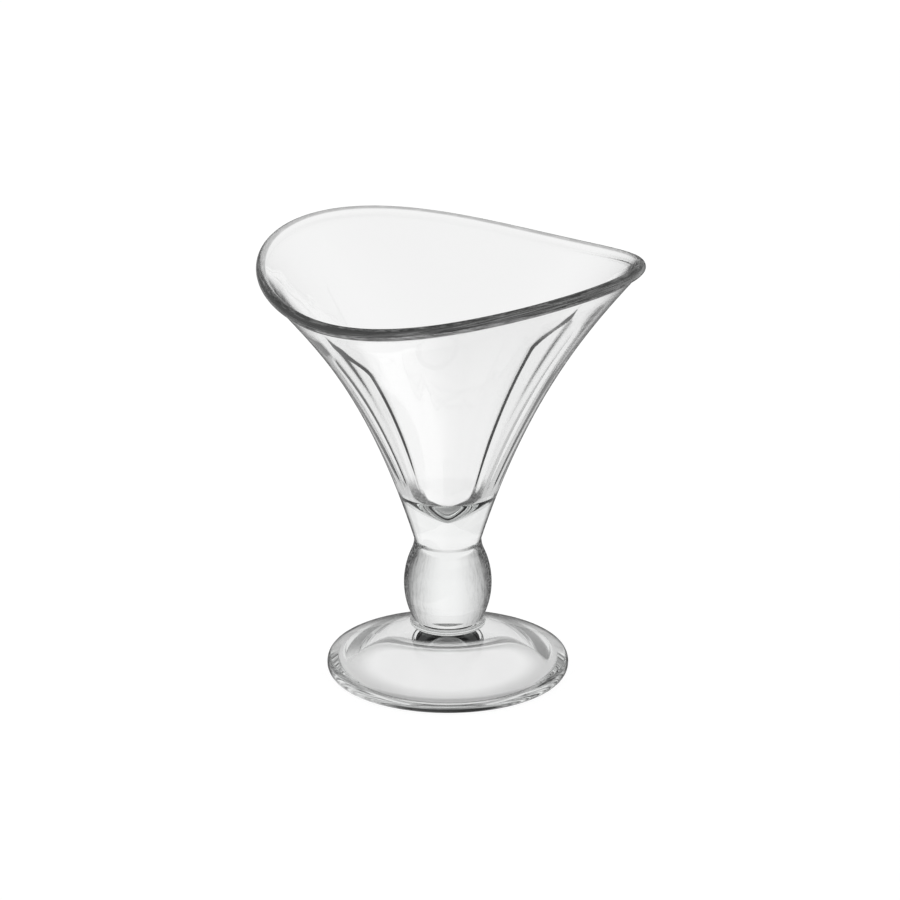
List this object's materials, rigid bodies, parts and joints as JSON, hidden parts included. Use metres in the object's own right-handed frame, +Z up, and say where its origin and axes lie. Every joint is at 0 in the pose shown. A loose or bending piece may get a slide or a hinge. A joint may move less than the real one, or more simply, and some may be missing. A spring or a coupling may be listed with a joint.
{
  "type": "dessert glass",
  "caption": "Footed dessert glass of clear pressed glass: flared bowl with a waved beaded rim, solid barrel knop with a ring below, and a domed foot that is hollow underneath.",
  "frame": {"origin": "on the axis of foot and stem, in the plane that the foot's flat ring stands on", "axes": "+Z up along the axis of foot and stem; +X towards the higher of the two raised lips of the rim, so the rim dips at +Y and -Y"},
  "size_m": [0.1305, 0.1201, 0.1488],
  "materials": {
    "glass": "clear, fire polished"
  },
  "bodies": {
    "root": {"glass": "glass"}
  },
  "joints": []
}
